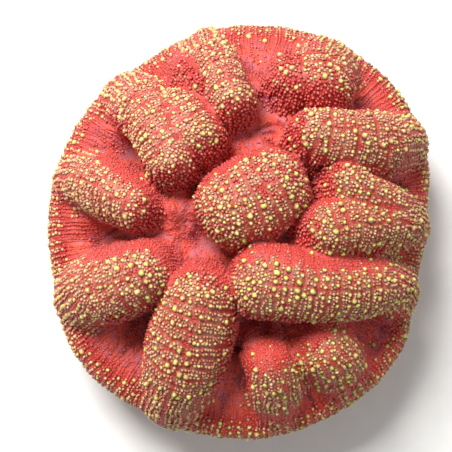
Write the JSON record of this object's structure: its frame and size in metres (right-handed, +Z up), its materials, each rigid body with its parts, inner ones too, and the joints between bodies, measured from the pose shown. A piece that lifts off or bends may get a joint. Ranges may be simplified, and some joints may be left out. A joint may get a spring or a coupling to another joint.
{
  "type": "brain coral",
  "caption": "Domed brain coral colony of fat folded lobes with narrow valleys between them, cut off flat below its rim so that it rests on the cut.",
  "frame": {"origin": "middle of the flat cut that the colony rests on", "axes": "+Z up from the cut to the top of the dome, +Y along the colony's longer side"},
  "size_m": [0.0632, 0.0685, 0.033],
  "materials": {
    "coral": "wet red flesh with yellow-green tipped grains over a stony skeleton"
  },
  "bodies": {
    "root": {"coral": "coral"}
  },
  "joints": []
}
